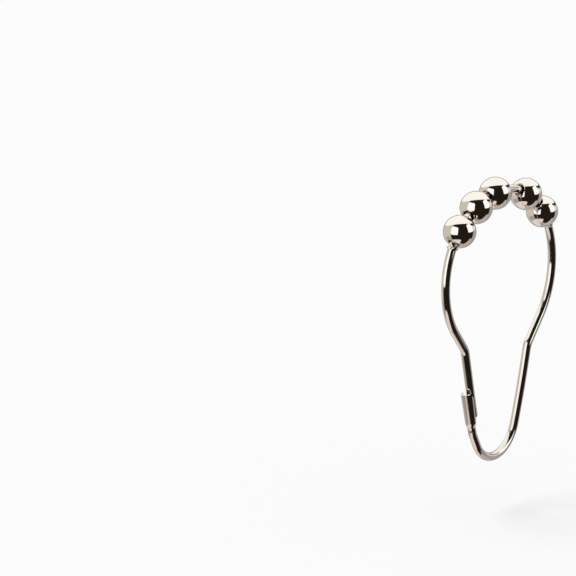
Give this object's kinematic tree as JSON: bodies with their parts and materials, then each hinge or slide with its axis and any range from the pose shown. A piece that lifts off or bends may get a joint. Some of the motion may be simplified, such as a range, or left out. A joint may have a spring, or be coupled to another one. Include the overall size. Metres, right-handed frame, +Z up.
{
  "type": "shower curtain hook",
  "caption": "Bent wire shower curtain hook: loose balls on its top arc roll along the rod, and its foot closes in a trough catch.",
  "frame": {"origin": "on the crest of the rod that the hook hangs from, in the plane of the wire and under the top of its arc", "axes": "+Z up, X along the rod, -Y towards the side with the catch (the front), +Y towards the plain back leg"},
  "size_m": [0.0087, 0.0531, 0.0787],
  "materials": {
    "wire": "polished, slightly warm nickel",
    "ball": "polished, slightly warm nickel"
  },
  "bodies": {
    "hook": {"wire_hook": "wire"},
    "ball_1": {"roller_ball_1": "ball"},
    "ball_2": {"roller_ball_2": "ball"},
    "ball_3": {"roller_ball_3": "ball"},
    "ball_4": {"roller_ball_4": "ball"},
    "ball_5": {"roller_ball_5": "ball"}
  },
  "joints": [
    {"name": "ball_1_roll", "type": "hinge", "parent": "hook", "child": "ball_1", "pos_m": [0, -0.01954, -0.00416], "axis": [0, 0.669, 0.7432], "continuous": true},
    {"name": "ball_2_roll", "type": "hinge", "parent": "hook", "child": "ball_2", "pos_m": [0, -0.01235, 0.00121], "axis": [0, 0.892, 0.4521], "continuous": true},
    {"name": "ball_3_roll", "type": "hinge", "parent": "hook", "child": "ball_3", "pos_m": [0, -0.00376, 0.0039], "axis": [0, 0.9905, 0.1377], "continuous": true},
    {"name": "ball_4_roll", "type": "hinge", "parent": "hook", "child": "ball_4", "pos_m": [0, 0.01114, 0.00178], "axis": [0, 0.9131, -0.4078], "continuous": true},
    {"name": "ball_5_roll", "type": "hinge", "parent": "hook", "child": "ball_5", "pos_m": [0, 0.01957, -0.00413], "axis": [0, 0.6843, -0.7292], "continuous": true}
  ]
}
